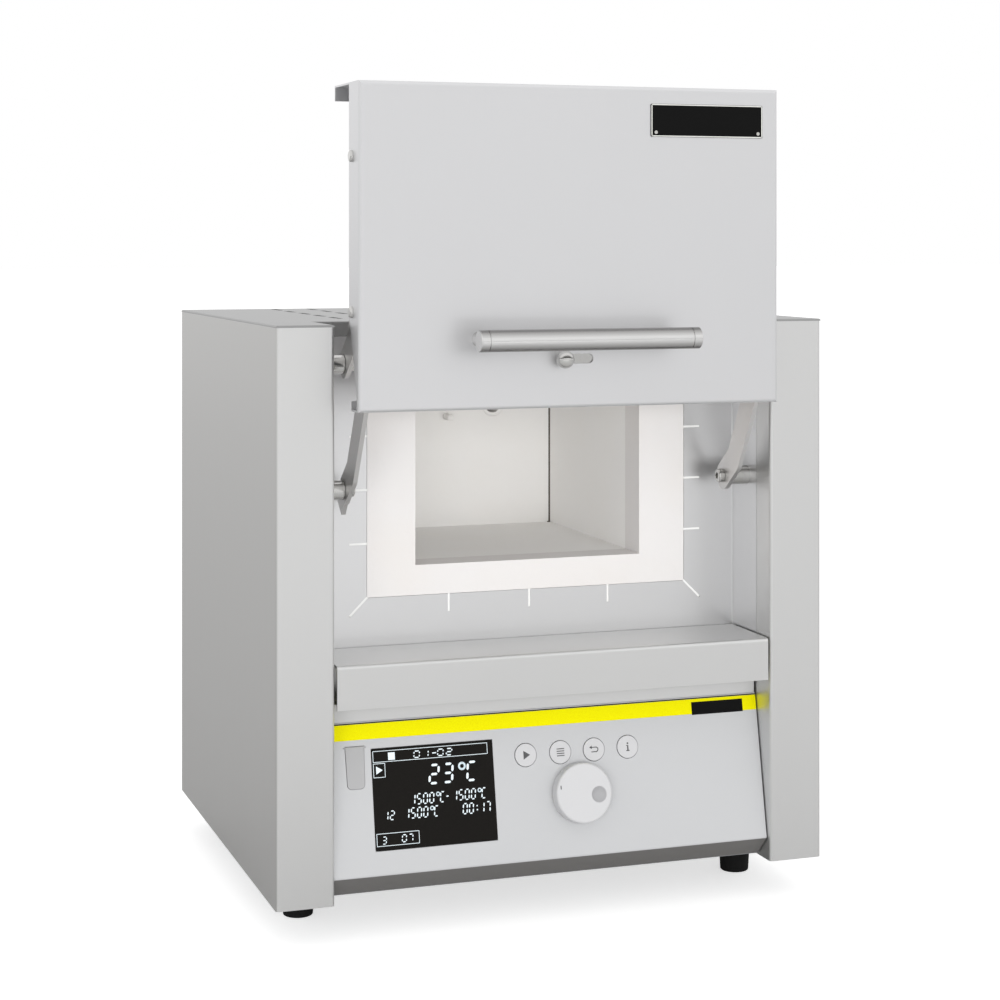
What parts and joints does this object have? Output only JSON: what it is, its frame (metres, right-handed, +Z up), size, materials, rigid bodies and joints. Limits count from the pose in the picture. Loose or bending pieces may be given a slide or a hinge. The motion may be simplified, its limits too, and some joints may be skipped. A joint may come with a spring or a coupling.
{
  "type": "muffle furnace",
  "caption": "Bench muffle furnace with a parallel-arm lift door, fibre-lined chamber, tilted controller with dial, display and buttons, and a rear inlet.",
  "frame": {"origin": "centre of the whole object's footprint with the door raised, on the surface the feet stand on", "axes": "+Z up, +X to the right seen from the front, +Y from the door towards the rear panel"},
  "size_m": [0.385, 0.393, 0.5534],
  "materials": {
    "casing_steel": "textured stainless sheet, fine vertical grain",
    "door_steel": "satin stainless sheet",
    "zinc_sheet": "plain galvanised sheet",
    "linkage_steel": "blasted steel plate",
    "bright_steel": "turned and polished",
    "handle_steel": "fine ground tube",
    "white_fibre": "matt vacuum-formed ceramic fibre",
    "heating_ceramic": "matt fired ceramic",
    "coil_wire": "oxidised heating wire",
    "panel_grey": "light grey moulded plastic",
    "flap_grey": "mid grey moulded plastic",
    "control_white": "pale moulded plastic",
    "stripe_yellow": "bright yellow film",
    "display_black": "black display glass",
    "plate_black": "black enamel with a pale border",
    "board_green": "solder resist",
    "black_plastic": "moulded black plastic",
    "black_rubber": "matt rubber",
    "red_rocker": "black switch key"
  },
  "bodies": {
    "root": {"accent_stripe": "stripe_yellow", "base_plate": "zinc_sheet", "casing_screws": "bright_steel", "controller_board": "board_green", "controller_panel": "panel_grey", "dial_encoder": "bright_steel", "display_module": "display_black", "exhaust_pipe": "bright_steel", "fan_frame": "black_plastic", "fan_guard": "bright_steel", "feet": "black_rubber", "front_plate": "casing_steel", "heating_coils": "coil_wire", "heating_plates": "heating_ceramic", "inner_casing": "zinc_sheet", "insulation_collar": "white_fibre", "insulation_rear": "white_fibre", "insulation_roof_floor": "white_fibre", "insulation_sides": "white_fibre", "mains_inlet": "black_plastic", "muffle_floor": "heating_ceramic", "muffle_rear_wall": "heating_ceramic", "muffle_roof": "heating_ceramic", "pivot_studs": "bright_steel", "rear_panel": "casing_steel", "side_panel_left": "casing_steel", "side_panel_right": "casing_steel", "sill_cover": "casing_steel", "solid_state_relay": "black_plastic", "stud_bolts": "bright_steel", "stud_mount_plates": "zinc_sheet", "thermocouple": "heating_ceramic", "top_cover": "casing_steel", "usb_socket": "bright_steel"},
    "lower_arms": {"arm_lower_left": "linkage_steel", "arm_lower_right": "linkage_steel"},
    "upper_arms": {"arm_upper_left": "linkage_steel", "arm_upper_right": "linkage_steel"},
    "door": {"door_panel": "door_steel", "door_carriers": "zinc_sheet", "door_pivot_pins": "bright_steel", "door_plug_tray": "zinc_sheet", "door_insulation": "white_fibre", "door_side_screws": "bright_steel", "handle_tube": "handle_steel", "handle_end_caps": "handle_steel", "handle_posts": "handle_steel", "slider_guide": "zinc_sheet", "name_plate": "plate_black"},
    "air_slider": {"air_slider": "bright_steel"},
    "dial_shaft": {"encoder_shaft": "bright_steel"},
    "dial": {"dial_knob": "control_white"},
    "button_play": {"button_play": "control_white"},
    "button_menu": {"button_menu": "control_white"},
    "button_back": {"button_back": "control_white"},
    "button_info": {"button_info": "control_white"},
    "usb_flap": {"usb_flap": "flap_grey"},
    "mains_rocker": {"mains_rocker": "red_rocker"},
    "fan_rotor": {"fan_rotor": "black_plastic"}
  },
  "joints": [
    {"name": "door_lift", "type": "hinge", "parent": "root", "child": "lower_arms", "pos_m": [0, -0.0955, 0.2875], "axis": [1, 0, 0], "range_deg": [0, 130.27]},
    {"name": "upper_arms_swing", "type": "hinge", "parent": "root", "child": "upper_arms", "pos_m": [0, -0.0955, 0.3705], "axis": [1, 0, 0], "range_deg": [0, 130.27]},
    {"name": "door_level", "type": "hinge", "parent": "lower_arms", "child": "door", "pos_m": [0, -0.1455, 0.3587], "axis": [1, 0, 0], "range_deg": [-130.27, 0]},
    {"name": "air_slide", "type": "slide", "parent": "door", "child": "air_slider", "axis": [1, 0, 0], "range_m": [0, 0.019]},
    {"name": "dial_press", "type": "slide", "parent": "root", "child": "dial_shaft", "axis": [0, 0.9815, -0.1912], "range_m": [0, 0.0006], "stiffness_N_per_m": 2000, "springref_m": -0.001},
    {"name": "dial_turn", "type": "hinge", "parent": "dial_shaft", "child": "dial", "pos_m": [0.0185, -0.12144, 0.08134], "axis": [0, -0.9815, 0.1912], "continuous": true},
    {"name": "play_press", "type": "slide", "parent": "root", "child": "button_play", "axis": [0, 0.9815, -0.1912], "range_m": [0, 0.0007], "stiffness_N_per_m": 1200, "springref_m": -0.001},
    {"name": "menu_press", "type": "slide", "parent": "root", "child": "button_menu", "axis": [0, 0.9815, -0.1912], "range_m": [0, 0.0007], "stiffness_N_per_m": 1200, "springref_m": -0.001},
    {"name": "back_press", "type": "slide", "parent": "root", "child": "button_back", "axis": [0, 0.9815, -0.1912], "range_m": [0, 0.0007], "stiffness_N_per_m": 1200, "springref_m": -0.001},
    {"name": "info_press", "type": "slide", "parent": "root", "child": "button_info", "axis": [0, 0.9815, -0.1912], "range_m": [0, 0.0007], "stiffness_N_per_m": 1200, "springref_m": -0.001},
    {"name": "flap_swing", "type": "hinge", "parent": "root", "child": "usb_flap", "pos_m": [-0.1358, -0.11327, 0.12121], "axis": [-1, 0, 0], "range_deg": [0, 100]},
    {"name": "rocker_tip", "type": "hinge", "parent": "root", "child": "mains_rocker", "pos_m": [0.12, 0.191, 0.1015], "axis": [1, 0, 0], "range_deg": [0, 18]},
    {"name": "fan_spin", "type": "hinge", "parent": "root", "child": "fan_rotor", "pos_m": [-0.108, 0.1885, 0.1055], "axis": [0, 1, 0], "continuous": true}
  ],
  "couplings": [
    {"joint": "upper_arms_swing", "follows": "door_lift", "ratio": 1},
    {"joint": "door_level", "follows": "door_lift", "ratio": -1}
  ]
}
